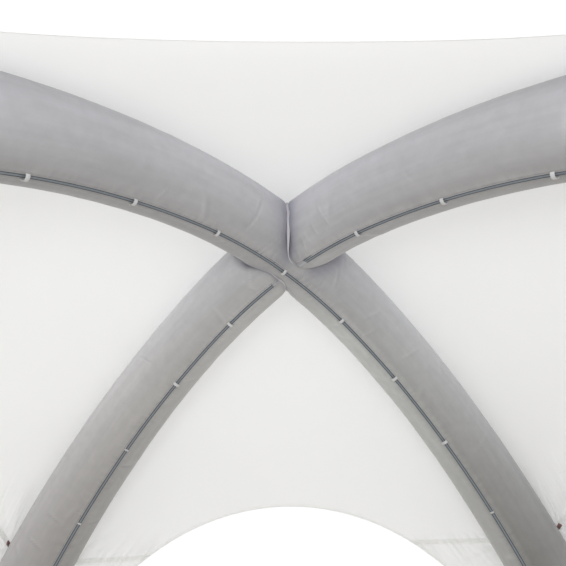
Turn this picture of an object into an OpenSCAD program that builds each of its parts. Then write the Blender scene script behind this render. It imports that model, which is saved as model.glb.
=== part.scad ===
// Four-legged inflatable dome tent: two crossed air beams under a canopy with four arched openings.
// Millimetres. The origin is on the ground, under the crossing of the beams, and +Z is up.
// The legs stand on the plan's diagonals, and the openings face -Y, +X, +Y and -X.
// The near side is -Y, the far side is +Y, and left is -X.

/* [Air beams] */
// Outside diameter of the inflated beams
beam_d = 375; // [360:1:390]
// Centreline radius of the crown arc
crown_r = 1890; // [1800:10:1960]
// Length of the crown arc on each side of the crossing
crown_len = 600; // [560:10:640]
// Centreline radius of the leg arc, which ends upright on the ground
leg_r = 3060; // [2900:10:3200]
// Thickness of the fabric sleeve
sleeve_t = 1.2; // [0.8:0.1:2]
// Thickness of the bladder film
bladder_t = 0.5; // [0.4:0.1:1]

/* [Zips and loops] */
// Distance of the zip line from the middle of the beam's inner side
zip_offset = 12; // [0:1:16]
// Width of the zip tape
zip_w = 34; // [30:1:40]
// Distance from the crossing at which the zips of the half beams start
zip_start = 125; // [110:5:160]
// Spacing of the webbing loops along the zips
loop_pitch = 500; // [450:10:550]
// Shift of beam A's loops towards the near left foot
loop_shift = 22; // [0:1:40]
// Outside radius of a webbing loop
loop_r = 18; // [17:0.5:20]
// Width of the loop webbing
loop_w = 18; // [12:1:22]

/* [Canopy] */
// Thickness of the canopy cloth
canopy_t = 1.5; // [1.5:0.1:2]
// Distance along the ridge from the crown to the level of the openings' tops
opening_top = 2055; // [1980:5:2120]
// Half width of the openings at the ground
opening_half = 1720; // [1680:10:1740]
// Squareness of the near opening's arch, 2 being an ellipse
near_shape = 3.3; // [2:0.1:3.5]
// Squareness of the far opening's arch
far_shape = 2; // [2:0.1:3.5]
// Squareness of the arches of the side openings
side_shape = 2.4; // [2:0.1:3.5]
// Inward sag of a panel half way between its legs
panel_sag = 34; // [0:1:60]
// Distance along the ridge from the crown to the reinforcing bands
band_at = 2290; // [2240:10:2340]
// Width of the reinforcing bands and of the hems
band_w = 30; // [25:1:40]

/* [Feet and anchors] */
// Thickness of the foot pads
pad_t = 8; // [6:1:12]
// Bore radius of the peg grommets
peg_r = 6; // [5:0.5:7]
// Height of the anchor straps above the ground
strap_h = 220; // [200:10:300]

/* [Valves] */
// Angle on the leg arc at which the inflation valves sit, 90 being the ground
valve_at = 80; // [78:0.5:82]
// Angle on the leg arc at which the relief valves sit
relief_at = 74; // [72:0.5:76]
// Position of the valves round the beam, from its outer side
valve_round = 118; // [110:1:125]

/* [Hidden] */

$fn = 48;
// Facets of a full turn of the big arcs
arc_fn = 360;

// Leg directions in plan
near_left = 225;
near_right = 315;
far_right = 45;
far_left = 135;
legs = [near_left, near_right, far_right, far_left];

// Beam centreline
beam_r = beam_d / 2;
crown_a = crown_len / crown_r * 180 / PI;
apex_z = pad_t + crown_r * (1 - cos(crown_a)) + leg_r * cos(crown_a);
leg_cx = (crown_r - leg_r) * sin(crown_a);
leg_cz = pad_t;
foot_x = leg_cx + leg_r;
leg_len = crown_len + leg_r * (90 - crown_a) * PI / 180;

// Small working gaps. The section gap is the seam between the crown and leg sections, in degrees.
section_gap = 0.01;
skin_gap = 0.3;
mitre_gap = 4;
mitre_start = 58;
bladder_end = 205;
bladder_r = beam_r - sleeve_t - 1;
// The bladders stop just above their foot discs
bladder_a = 90 - (1 + bladder_t + 0.1) / leg_r * 180 / PI;

// Zips, loops and sliders
tape_t = 1.2;
coil_w = 7;
coil_t = 2.2;
coil_base = beam_r + skin_gap + tape_t;
zip_start_a = zip_start / crown_r * 180 / PI;
zip_end_a = 88.3;
slider_at = 86.5;
slider_l = 28;
slider_w = 16;
slider_pin_h = 9;
slider_pin_r = 1;
loops_per_leg = 8;
running_gap = 0.06;

// Canopy, whose skins are offsets of the beam's own surface
canopy_in = beam_r + 6;
canopy_out = canopy_in + canopy_t;
hem_in = beam_r + 2;
hem_out = hem_in + 1.5;
canopy_start = 60;
canopy_end = leg_len - 30;
opening_h = canopy_end - opening_top;
ridge_in = canopy_out + 0.5;
ridge_out = ridge_in + 1.2;
ridge_w = 36;
ridge_start = 110;
patch_r = 95;
top_rows = 12;
wing_rows = 9;
edge_columns = 7;
hem_steps = 21;
wrap_steps = 3;
seam_gap = 1;

// Feet, rings and valves
pad_r = beam_r + 15;
ear_x = pad_r + 28;
ear_r = 26;
grommet_t = 1.5;
ring_wire = 2.5;
ring_r = 15;
strap_w = 22;
ring_z = ridge_out + 4.8;
strap_at = 90 - (strap_h - pad_t) / leg_r * 180 / PI;
valve_legs = [near_left, near_right, far_left];
// The cap's hinge pin, level with the skirt of the cap so that it clears the neck as it turns
cap_pin = [-29, 0, 6];

// ---------- Beam geometry ----------

// Angle of the centreline from the horizontal at distance s along it from the crown
function psi(s) = s < crown_len ? s / crown_r * 180 / PI : crown_a + (s - crown_len) / leg_r * 180 / PI;
// Horizontal distance and height of the centreline at angle a
function cx(a) = a < crown_a ? crown_r * sin(a) : leg_cx + leg_r * sin(a);
function cz(a) = a < crown_a ? apex_z - crown_r * (1 - cos(a)) : leg_cz + leg_r * cos(a);

// A 2D profile swept along an arc of the centreline, from angle a0 to a1. The profile's x points out of the arc.
module arc(r, a0, a1) {
    rotate([90, 0, 0])
        rotate([0, 0, 90 - a1])
            rotate_extrude(angle = a1 - a0, $fn = arc_fn)
                translate([r, 0])
                    children();
}

module crown_sweep(a0, a1) {
    translate([0, 0, apex_z - crown_r])
        arc(crown_r, a0, a1) children();
}

// The leg section starts a seam's width past the crown section
module leg_sweep(a1 = 90) {
    translate([leg_cx, 0, leg_cz])
        arc(leg_r, crown_a + section_gap, a1) children();
}

// The whole arch of beam A, in the plane of the near left and far right legs
module arch(a1 = 90) {
    rotate([0, 0, far_right]) {
        crown_sweep(-crown_a, crown_a) children();
        leg_sweep(a1) children();
        mirror([1, 0, 0])
            leg_sweep(a1) children();
    }
}

// One half beam from angle a0 on the crown arc to its foot
module half_beam(azimuth, a0 = 0, a1 = 90) {
    rotate([0, 0, azimuth]) {
        crown_sweep(a0, crown_a) children();
        leg_sweep(a1) children();
    }
}

// A place on a leg's surface: +X runs down the leg, and +Z points out of the beam, turned round it by side
module on_leg(azimuth, a, side = 0) {
    rotate([0, 0, azimuth])
        translate([cx(a), 0, cz(a)])
            rotate([0, a, 0])
                rotate([side, 0, 0])
                    children();
}

// The plan wedge of one half beam, whose sides are the mitre planes moved in by gap
module mitre_wedge(start, gap) {
    reach = 2 * crown_len;
    translate([0, 0, apex_z - crown_r / 2])
        linear_extrude(crown_r)
            polygon([[start, gap - start], [reach, gap - reach], [reach, reach - gap], [start, start - gap]]);
}

module ring_profile(outer, inner) {
    difference() {
        circle(outer);
        circle(inner);
    }
}

// A strip on the beam's surface, w wide, from radius lo to hi. It lies on the inner side, offset by y.
module strip_profile(lo, hi, w, y) {
    intersection() {
        ring_profile(hi, lo);
        translate([-hi - 1, y - w / 2])
            square([hi, w]);
    }
}

// ---------- Beams ----------

module sleeve_color() {
    color([0.66, 0.66, 0.68]) children();
}

module beam_a_sleeve() {
    sleeve_color()
        difference() {
            arch() ring_profile(beam_r, beam_r - sleeve_t);
            valve_windows([near_left]);
        }
}

module half_sleeve(azimuth) {
    sleeve_color()
        difference() {
            rotate([0, 0, azimuth]) {
                intersection() {
                    crown_sweep(0, crown_a) ring_profile(beam_r, beam_r - sleeve_t);
                    mitre_wedge(mitre_start, mitre_gap);
                }
                leg_sweep() ring_profile(beam_r, beam_r - sleeve_t);
            }
            valve_windows([azimuth]);
        }
}

// Round windows in a sleeve, through which the valves stand
module valve_windows(azimuths) {
    for (azimuth = azimuths) {
        on_leg(azimuth, valve_at, valve_round)
            cylinder(r = 41, h = 2 * beam_r);
        on_leg(azimuth, relief_at, valve_round)
            cylinder(r = 31, h = 2 * beam_r);
    }
}

module bladder_color() {
    color([0.80, 0.82, 0.84, 0.8]) children();
}

module bladder_holes(azimuth) {
    on_leg(azimuth, valve_at, valve_round)
        cylinder(r = 21, h = 2 * beam_r);
    on_leg(azimuth, relief_at, valve_round)
        cylinder(r = 14, h = 2 * beam_r);
}

// The flat welded ends of the bladders: at a foot, and next to the crossing
module bladder_foot(azimuth) {
    rotate([0, 0, azimuth])
        translate([foot_x, 0, pad_t + 1])
            cylinder(r = bladder_r, h = bladder_t, $fn = 96);
}

module bladder_crown_end(azimuth) {
    a = bladder_end / crown_r * 180 / PI;
    on_leg(azimuth, a)
        rotate([0, 90, 0])
            translate([0, 0, -bladder_t - 0.1])
                cylinder(r = bladder_r, h = bladder_t, $fn = 96);
}

module beam_a_bladder() {
    bladder_color() {
        difference() {
            arch(bladder_a) ring_profile(bladder_r, bladder_r - bladder_t);
            bladder_holes(near_left);
        }
        bladder_foot(near_left);
        bladder_foot(far_right);
    }
}

module half_bladder(azimuth) {
    bladder_color() {
        difference() {
            half_beam(azimuth, bladder_end / crown_r * 180 / PI, bladder_a)
                ring_profile(bladder_r, bladder_r - bladder_t);
            bladder_holes(azimuth);
        }
        bladder_foot(azimuth);
        bladder_crown_end(azimuth);
    }
}

// The piping that covers the seam between a half beam and beam A, along both mitre planes
module mitre_seam(azimuth) {
    color([0.58, 0.58, 0.61])
        rotate([0, 0, azimuth])
            difference() {
                intersection() {
                    crown_sweep(0, crown_a) ring_profile(beam_r + 2.5, beam_r + skin_gap);
                    mitre_wedge(mitre_start - 10, 1);
                }
                mitre_wedge(mitre_start + 4, 14);
            }
}

// ---------- Zips and loops ----------

module tape_profile(y) {
    strip_profile(beam_r + skin_gap, coil_base, zip_w, y);
}

module coil_profile(y) {
    strip_profile(coil_base, coil_base + coil_t, coil_w, y);
}

module zip_color() {
    color([0.36, 0.39, 0.43]) children();
}

module zip_tape_a() {
    zip_color() arch(zip_end_a) tape_profile(-zip_offset);
}

module zip_coil_a() {
    color([0.25, 0.28, 0.32]) arch(zip_end_a) coil_profile(-zip_offset);
}

// The zips of both half beams are offset towards +X, which is opposite sides of the two legs
function zip_side(azimuth) = azimuth == far_left ? 1 : -1;

module half_tape(azimuth) {
    zip_color() half_beam(azimuth, zip_start_a, zip_end_a) tape_profile(zip_side(azimuth) * zip_offset);
}

module half_coil(azimuth) {
    color([0.25, 0.28, 0.32])
        half_beam(azimuth, zip_start_a, zip_end_a) coil_profile(zip_side(azimuth) * zip_offset);
}

// A place on the zip of a leg: +Z points into the tent, and +X runs down the leg
function zip_turn(azimuth) = asin(zip_offset / beam_r) * (azimuth == near_left || azimuth == far_left ? -1 : 1);

module on_zip(azimuth, a) {
    on_leg(azimuth, a, 180 + zip_turn(azimuth))
        children();
}

// A half round webbing loop that bridges the zip
module loop() {
    rotate([90, 0, 90])
        linear_extrude(loop_w, center = true)
            intersection() {
                ring_profile(loop_r, loop_r - 1.3);
                translate([-loop_r, 0])
                    square([2 * loop_r, loop_r]);
            }
}

module leg_loops(azimuth, shift = 0, first = 1) {
    color([0.93, 0.93, 0.93])
        for (i = [first:loops_per_leg])
            on_zip(azimuth, psi(i * loop_pitch + shift))
                translate([0, 0, coil_base + 0.3])
                    loop();
}

// The loop next to the crossing belongs to the near left leg
module loops_a() {
    leg_loops(near_left, loop_shift, 0);
    leg_loops(far_right, -loop_shift);
}

// A zip slider: a bridge over the coil with two ears that hold the pull's pin
module slider(azimuth) {
    color([0.45, 0.47, 0.50])
        on_zip(azimuth, slider_at)
            translate([0, 0, coil_base]) {
                difference() {
                    translate([-slider_l / 2, -slider_w / 2, 0.3])
                        cube([slider_l, slider_w, 5.2]);
                    translate([-slider_l / 2 - 1, -coil_w / 2 - 0.6, 0])
                        cube([slider_l + 2, coil_w + 1.2, coil_t + 0.6]);
                }
                for (side = [-1, 1])
                    translate([-3, side * 4.6 - 1, 5.4])
                        cube([6, 2, 5.6]);
                translate([0, 0, slider_pin_h])
                    rotate([90, 0, 0])
                        cylinder(r = slider_pin_r, h = 9, center = true);
            }
}

// A pull tab with an eye that turns on the slider's pin
module pull(azimuth) {
    color([0.42, 0.44, 0.47])
        on_zip(azimuth, slider_at)
            translate([0, 0, coil_base + slider_pin_h])
                difference() {
                    union() {
                        rotate([90, 0, 0])
                            cylinder(r = 2.6, h = 6, center = true);
                        translate([0, -3, -1])
                            cube([14, 6, 2]);
                        translate([14, -4.5, -1])
                            cube([24, 9, 2]);
                        translate([38, 0, -1])
                            cylinder(r = 4.5, h = 2);
                    }
                    rotate([90, 0, 0])
                        cylinder(r = slider_pin_r + running_gap, h = 8, center = true);
                    translate([36, 0, -2])
                        cylinder(r = 2, h = 4);
                }
}

// ---------- Canopy ----------
// A panel is made for the far side and turned into place. Its cloth wraps the outer quarter of both beams,
// leaves them at a tangent and crosses between them, with a slight inward sag.

function rot_z(p, a) = [p.x * cos(a) - p.y * sin(a), p.x * sin(a) + p.y * cos(a), p.z];

// Half width of the panel between its tangent lines
function half_w(s) = cx(psi(s)) / sqrt(2);

// Outward normal of the panel at distance s along the ridge
function panel_normal(s) =
    let (a = psi(s), q = sqrt(1 + sin(a) * sin(a)))
    [0, sqrt(2) * sin(a) / q, cos(a) / q];

// A point between the legs: u runs from -1 to 1 across the panel, and r is the offset from the centreline
function span_point(s, u, r) =
    let (sag = panel_sag * min(1, s / opening_top) * (1 - u * u))
    [u * half_w(s), half_w(s), cz(psi(s))] + (r - sag) * panel_normal(s);

// A point on the wrap of the leg on side k: f runs from 1 at the tangent line to 0 at the ridge
function wrap_point(s, k, f, r) =
    let (a = psi(s),
         edge = seam_gap / r * 180 / PI,
         phi = edge + f * (atan(sin(a)) - edge),
         out = [sin(a) / sqrt(2), sin(a) / sqrt(2), cos(a)],
         across = [-1 / sqrt(2), 1 / sqrt(2), 0],
         p = [half_w(s), half_w(s), cz(a)] + r * (cos(phi) * out + sin(phi) * across))
    [k * p.x, p.y, p.z];

// A column is [kind, value]: kind 0 is a span column at u, and kinds -1 and 1 are wrap columns at f
function panel_point(c, s, r) =
    c[0] == 0 ? span_point(s, c[1], r) : wrap_point(s, c[0], c[1], r);

// Opening half width at depth h below its top, and depth at half width x, for an arch of squareness n
function opening_x(h, n) = opening_half * pow(1 - pow(max(0, 1 - h / opening_h), n), 1 / n);
function opening_depth(x, n) = opening_h * (1 - pow(max(0, 1 - pow(min(1, abs(x) / opening_half), n)), 1 / n));

// The wrap columns of side k, from the ridge to the tangent line
function wrap_columns(k) = [for (i = [0:wrap_steps]) [k, i / wrap_steps]];
function reversed(v) = [for (i = [len(v) - 1:-1:0]) v[i]];

// Skins of a cloth piece from two grids of points, outer and inner, each rows of the same length
module cloth(outer, inner) {
    rows = len(outer);
    cols = len(outer[0]);
    n = rows * cols;
    points = concat([for (row = outer) each row], [for (row = inner) each row]);
    quads = [for (i = [0:rows - 2], j = [0:cols - 2]) let (a = i * cols + j) [a, a + 1, a + cols + 1, a + cols]];
    skin_out = [for (q = quads) each [[q[0], q[1], q[2]], [q[0], q[2], q[3]]]];
    skin_in = [for (q = quads) each [[q[2] + n, q[1] + n, q[0] + n], [q[3] + n, q[2] + n, q[0] + n]]];
    rim = concat(
        [for (j = [0:cols - 1]) j],
        [for (i = [1:rows - 1]) i * cols + cols - 1],
        [for (j = [cols - 2:-1:0]) (rows - 1) * cols + j],
        [for (i = [rows - 2:-1:1]) i * cols]);
    count = len(rim);
    sides = [for (i = [0:count - 1]) let (a = rim[i], b = rim[(i + 1) % count])
             each [[b, a, a + n], [b, a + n, b + n]]];
    polyhedron(points, concat(skin_out, skin_in, sides), convexity = 8);
}

// Distance along the ridge to which the top panel reaches in column c: the opening's edge or the band
function top_reach(c, n) =
    c[0] != 0 ? band_at : abs(c[1]) >= band_u(n) - 0.0001 ? band_at : c[2];

// Share of the half width that the opening takes at the band
function band_u(n) = opening_x(band_at - opening_top, n) / half_w(band_at);

// Span columns of the top panel, as [0, u, reach]: along the opening's edge, and then out to the leg
function edge_columns_of(n) =
    let (xb = opening_x(band_at - opening_top, n))
    [for (i = [-edge_columns:edge_columns])
        let (x = xb * sin(90 * i / edge_columns), s = opening_top + opening_depth(x, n))
        [0, x / half_w(s), s]];

function top_columns(n) =
    let (ub = band_u(n), um = (1 + ub) / 2)
    concat(wrap_columns(-1), [[0, -um]], edge_columns_of(n), [[0, um]], reversed(wrap_columns(1)));

function top_grid(n, r) =
    [for (i = [0:top_rows])
        [for (c = top_columns(n))
            panel_point(c, canopy_start + (top_reach(c, n) - canopy_start) * i / top_rows, r)]];

module canopy_top(azimuth, n) {
    color([0.94, 0.94, 0.93])
        rotate([0, 0, azimuth])
            cloth(top_grid(n, canopy_out), top_grid(n, canopy_in));
}

// The part of a panel below the band, on side k, between the opening's edge and the ridge of the leg
function wing_s(i, n) = band_at + seam_gap + (canopy_end - band_at - seam_gap) * i / wing_rows;

function wing_row(s, k, n, r) =
    let (ue = opening_x(s - opening_top, n) / half_w(s))
    concat([for (j = [0:2]) panel_point([0, k * (ue + (1 - ue) * j / 3)], s, r)],
           [for (c = reversed(wrap_columns(k))) panel_point(c, s, r)]);

function wing_grid(k, n, r) = [for (i = [0:wing_rows]) wing_row(wing_s(i, n), k, n, r)];

module wings(azimuth, n) {
    color([0.93, 0.93, 0.92])
        rotate([0, 0, azimuth]) {
            cloth(wing_grid(-1, n, canopy_in), wing_grid(-1, n, canopy_out));
            cloth(wing_grid(1, n, canopy_out), wing_grid(1, n, canopy_in));
        }
}

// The hem along the opening's edge, under the cloth. t runs from -90 at one foot to 90 at the other.
function hem_point(t, n, r, back) =
    let (a = abs(t),
         x = opening_half * pow(sin(a), 2 / n),
         s = opening_top + opening_h * (1 - pow(cos(a), 2 / n)) - back * pow(cos(a), 2 - 2 / n),
         u = (x + back * pow(sin(a), 2 - 2 / n)) / half_w(s))
    span_point(s, sign(t) * u, r);

function hem_row(n, r, back) =
    [for (i = [-hem_steps:hem_steps]) hem_point(90 * i / hem_steps, n, r, back)];

module hem(azimuth, n) {
    color([0.90, 0.90, 0.89])
        rotate([0, 0, azimuth])
            cloth([hem_row(n, hem_out, band_w), hem_row(n, hem_out, 0)],
                  [hem_row(n, hem_in, band_w), hem_row(n, hem_in, 0)]);
}

// The reinforcing band from the leg on side k to the hem, under the cloth
function band_row(k, n, r, s) =
    let (ue = (opening_x(s + band_w - opening_top, n) + band_w + 1) / half_w(s))
    [for (j = [0:4]) panel_point([0, k * (ue + (0.995 - ue) * j / 4)], s, r)];

module corner_band(azimuth, n, k) {
    upper = band_at - band_w / 2;
    lower = band_at + band_w / 2;
    outer = [band_row(k, n, hem_out, upper), band_row(k, n, hem_out, lower)];
    inner = [band_row(k, n, hem_in, upper), band_row(k, n, hem_in, lower)];
    rotate([0, 0, azimuth])
        cloth(k > 0 ? outer : inner, k > 0 ? inner : outer);
}

// Panel directions, as the turn from the far side, and the squareness of each opening
sides = [[180, near_shape], [270, side_shape], [0, far_shape], [90, side_shape]];

module corner_bands() {
    color([0.87, 0.87, 0.86])
        for (side = sides, k = [-1, 1])
            corner_band(side[0], side[1], k);
}

// Tapes over the seams between the panels, along the ridge of each leg
module ridge_tapes() {
    color([0.88, 0.88, 0.87])
        for (azimuth = legs)
            half_beam(azimuth, psi(ridge_start), 89)
                mirror([1, 0]) strip_profile(ridge_in, ridge_out, ridge_w, 0);
}

module crown_patch() {
    color([0.90, 0.90, 0.89])
        translate([0, 0, apex_z + canopy_out + 0.5])
            cylinder(r = patch_r, h = 2);
}

// ---------- Feet and anchors ----------

module foot_pads() {
    color([0.30, 0.31, 0.33])
        for (azimuth = legs)
            rotate([0, 0, azimuth])
                difference() {
                    union() {
                        translate([foot_x, 0, 0])
                            cylinder(r = pad_r, h = pad_t, $fn = 96);
                        translate([foot_x, -ear_r, 0])
                            cube([ear_x, 2 * ear_r, pad_t]);
                        translate([foot_x + ear_x, 0, 0])
                            cylinder(r = ear_r, h = pad_t);
                    }
                    translate([foot_x + ear_x, 0, -1])
                        cylinder(r = peg_r + 3.05, h = pad_t + 2);
                }
}

module peg_grommets() {
    color([0.72, 0.68, 0.55])
        for (azimuth = legs)
            rotate([0, 0, azimuth])
                translate([foot_x + ear_x, 0, 0])
                    difference() {
                        union() {
                            translate([0, 0, 0.2])
                                cylinder(r = peg_r + 3, h = pad_t);
                            translate([0, 0, pad_t + 0.05])
                                cylinder(r = peg_r + 8, h = grommet_t);
                        }
                        translate([0, 0, -1])
                            cylinder(r = peg_r, h = pad_t + grommet_t + 3);
                    }
}

// Webbing straps, each sewn flat to the leg with a loop that holds the ring's straight bar
module anchor_straps() {
    color([0.32, 0.33, 0.35])
        for (azimuth = legs)
            on_leg(azimuth, strap_at)
                difference() {
                    union() {
                        translate([-70, -strap_w / 2, ridge_out + 0.8])
                            cube([70, strap_w, 1.6]);
                        translate([0, 0, ring_z])
                            rotate([90, 0, 0])
                                cylinder(r = ring_wire + 2, h = strap_w, center = true);
                    }
                    translate([0, 0, ring_z])
                        rotate([90, 0, 0])
                            cylinder(r = ring_wire + running_gap, h = 30, center = true);
                }
}

module anchor_ring(azimuth) {
    color([0.70, 0.71, 0.73])
        on_leg(azimuth, strap_at)
            translate([0, 0, ring_z]) {
                rotate([90, 0, 0])
                    cylinder(r = ring_wire, h = 2 * ring_r, center = true);
                rotate([0, 0, -90])
                    rotate_extrude(angle = 180)
                        translate([ring_r, 0])
                            circle(ring_wire);
            }
}

// ---------- Valves ----------
// A valve's +Z points out of the beam, and z = 0 is its seat on the bladder

module on_valve(azimuth, a) {
    on_leg(azimuth, a, valve_round)
        translate([0, 0, bladder_r + 0.4])
            children();
}

// A web across the bore that guides a poppet's stem, with three windows for the air
module guide(outer, stem_r, lo, hi) {
    translate([0, 0, lo])
        linear_extrude(hi - lo)
            difference() {
                circle(outer);
                circle(stem_r + running_gap);
                for (turn = [60:120:300])
                    rotate(turn)
                        translate([(outer + stem_r) / 2 + 0.8, 0])
                            circle((outer - stem_r) / 2 - 1.6);
            }
}

module valve_body(azimuth) {
    color([0.16, 0.17, 0.18])
        on_valve(azimuth, valve_at) {
            difference() {
                union() {
                    translate([0, 0, -22])
                        cylinder(r = 19, h = 22);
                    cylinder(r = 34, h = 3);
                    cylinder(r = 20, h = 11);
                }
                translate([0, 0, -18])
                    cylinder(r = 15, h = 40);
                translate([0, 0, -23])
                    cylinder(r = 11, h = 40);
            }
            guide(15.5, 2, -9, -5);
            for (side = [-1, 1])
                translate([-33, side * 7 - 1.5, 2.5])
                    cube([8, 3, 7]);
            translate(cap_pin)
                rotate([90, 0, 0])
                    cylinder(r = 1.5, h = 15, center = true);
        }
}

// The disc seals against the inner end of the body, and the button on the stem opens it
module valve_poppet(azimuth) {
    color([0.75, 0.20, 0.16])
        on_valve(azimuth, valve_at) {
            translate([0, 0, -24.3])
                cylinder(r = 13, h = 2.2);
            translate([0, 0, -23])
                cylinder(r = 2, h = 23);
            translate([0, 0, -1])
                cylinder(r = 4, h = 2);
        }
}

// A cap that covers the mouth and turns back on the body's hinge pin
module valve_cap(azimuth) {
    color([0.14, 0.15, 0.16])
        on_valve(azimuth, valve_at)
            difference() {
                union() {
                    translate([0, 0, 4])
                        cylinder(r = 23, h = 11);
                    translate([-29, -5, 4.5])
                        cube([12, 10, 3.5]);
                    translate(cap_pin)
                        rotate([90, 0, 0])
                            cylinder(r = 2.8, h = 10, center = true);
                }
                translate([0, 0, 3])
                    cylinder(r = 20.5, h = 8.5);
                translate(cap_pin)
                    rotate([90, 0, 0])
                        cylinder(r = 1.5 + running_gap, h = 12, center = true);
            }
}

module relief_bodies() {
    color([0.16, 0.17, 0.18])
        for (azimuth = valve_legs)
            on_valve(azimuth, relief_at) {
                difference() {
                    union() {
                        translate([0, 0, -10])
                            cylinder(r = 13, h = 12);
                        cylinder(r = 26, h = 3);
                        cylinder(r = 15, h = 6);
                    }
                    translate([0, 0, -11])
                        cylinder(r = 9, h = 20);
                }
                guide(9.5, 2, -6, -2);
            }
}

// The disc lies on the rim and lifts when the pressure is too high
module relief_poppet(azimuth) {
    color([0.60, 0.61, 0.63])
        on_valve(azimuth, relief_at) {
            translate([0, 0, 6.1])
                cylinder(r = 12, h = 2);
            translate([0, 0, -12])
                cylinder(r = 2, h = 19);
            translate([0, 0, -14])
                cylinder(r = 4, h = 2.5);
        }
}

beam_a_sleeve();
half_sleeve(near_right);  // beam_b_near_sleeve
half_sleeve(far_left);  // beam_b_far_sleeve
beam_a_bladder();
half_bladder(near_right);  // beam_b_near_bladder
half_bladder(far_left);  // beam_b_far_bladder
zip_tape_a();
half_tape(near_right);  // zip_tape_b_near
half_tape(far_left);  // zip_tape_b_far
zip_coil_a();
half_coil(near_right);  // zip_coil_b_near
half_coil(far_left);  // zip_coil_b_far
slider(near_left);  // slider_near_left
slider(near_right);  // slider_near_right
slider(far_right);  // slider_far_right
slider(far_left);  // slider_far_left
pull(near_left);  // pull_near_left
pull(near_right);  // pull_near_right
pull(far_right);  // pull_far_right
pull(far_left);  // pull_far_left
loops_a();
leg_loops(near_right);  // loops_b_near
leg_loops(far_left);  // loops_b_far
mitre_seam(near_right);  // mitre_seam_near
mitre_seam(far_left);  // mitre_seam_far
canopy_top(180, near_shape);  // canopy_near
canopy_top(270, side_shape);  // canopy_right
canopy_top(0, far_shape);  // canopy_far
canopy_top(90, side_shape);  // canopy_left
wings(180, near_shape);  // wings_near
wings(270, side_shape);  // wings_right
wings(0, far_shape);  // wings_far
wings(90, side_shape);  // wings_left
hem(180, near_shape);  // hem_near
hem(270, side_shape);  // hem_right
hem(0, far_shape);  // hem_far
hem(90, side_shape);  // hem_left
corner_bands();
ridge_tapes();
crown_patch();
foot_pads();
peg_grommets();
anchor_straps();
anchor_ring(near_left);  // ring_near_left
anchor_ring(near_right);  // ring_near_right
anchor_ring(far_right);  // ring_far_right
anchor_ring(far_left);  // ring_far_left
valve_body(near_left);  // valve_body_a
valve_body(near_right);  // valve_body_b_near
valve_body(far_left);  // valve_body_b_far
valve_poppet(near_left);  // valve_poppet_a
valve_poppet(near_right);  // valve_poppet_b_near
valve_poppet(far_left);  // valve_poppet_b_far
valve_cap(near_left);  // valve_cap_a
valve_cap(near_right);  // valve_cap_b_near
valve_cap(far_left);  // valve_cap_b_far
relief_bodies();
relief_poppet(near_left);  // relief_poppet_a
relief_poppet(near_right);  // relief_poppet_b_near
relief_poppet(far_left);  // relief_poppet_b_far
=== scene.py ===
import math

import bmesh
import bpy
import numpy as np
from mathutils import Matrix, Vector


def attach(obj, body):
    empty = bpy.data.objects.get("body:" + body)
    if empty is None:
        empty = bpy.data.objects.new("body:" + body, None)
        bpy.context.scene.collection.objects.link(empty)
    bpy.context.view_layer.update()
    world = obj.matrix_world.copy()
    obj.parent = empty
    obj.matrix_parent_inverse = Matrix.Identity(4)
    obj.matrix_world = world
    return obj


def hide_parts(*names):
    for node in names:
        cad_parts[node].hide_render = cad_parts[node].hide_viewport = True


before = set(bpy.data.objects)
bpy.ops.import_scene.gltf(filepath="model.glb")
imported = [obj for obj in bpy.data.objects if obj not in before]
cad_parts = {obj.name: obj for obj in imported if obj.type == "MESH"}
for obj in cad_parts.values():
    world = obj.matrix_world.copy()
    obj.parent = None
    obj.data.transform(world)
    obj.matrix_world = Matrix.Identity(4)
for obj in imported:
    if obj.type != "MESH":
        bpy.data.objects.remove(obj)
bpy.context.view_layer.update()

# ---- sizes, in metres, as in part.scad
FULL_TURN = 2 * math.pi
BEAM_R = 0.1875
CROWN_R, CROWN_LEN, LEG_R, PAD_T = 1.890, 0.600, 3.060, 0.008
CROWN_A = CROWN_LEN / CROWN_R
LEG_CX = (CROWN_R - LEG_R) * math.sin(CROWN_A)
APEX_Z = PAD_T + CROWN_R * (1 - math.cos(CROWN_A)) + LEG_R * math.cos(CROWN_A)
LEG_LEN = CROWN_LEN + LEG_R * (math.pi / 2 - CROWN_A)
GIRTH = FULL_TURN * BEAM_R


def leg_s(degrees):
    """Distance along the beam from the crown to that angle down a leg."""
    return CROWN_LEN + LEG_R * (math.radians(degrees) - CROWN_A)


MM = 0.001
ZIP_OFFSET, ZIP_START, ZIP_END = 0.012, 0.125, leg_s(88.3)
ZIP_PHI = math.asin(ZIP_OFFSET / BEAM_R)
LOOP_PITCH, LOOP_SHIFT, LOOP_R, LOOP_W, LOOP_T = 0.500, 0.022, 0.018, 0.018, 0.0013
LOOPS_PER_LEG = 8

CANOPY_R = BEAM_R + 0.00675
OPENING_TOP, OPENING_HALF, PANEL_SAG = 2.055, 1.720, 0.034
CANOPY_START, CANOPY_END = 0.060, LEG_LEN - 0.030
OPENING_H = CANOPY_END - OPENING_TOP
BAND_AT, BAND_W = 2.290, 0.030
# How far down the leg some bands are sewn from there, at their leg end and at their opening end
BAND_SHIFT = {("far", -1): (0.080, 0.055), ("left", 1): (0.062, 0.050), ("right", -1): (0.030, 0.025)}
RIDGE_START, RIDGE_END = 0.096, leg_s(89)
PATCH_R, PATCH_HIGH, THREAD_R = 0.095, 0.0034, 0.0004
STRAP_W, STRAP_T, STRAP_R = 0.022, 0.0009, BEAM_R + 0.0098
STRAP_ANGLE = 90 - math.degrees((0.220 - PAD_T) / LEG_R)
# Name, turn from the far side and squareness of each opening
SIDES = (("near", 180, 3.3), ("right", 270, 2.4), ("far", 0, 2.0), ("left", 90, 2.4))

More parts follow.
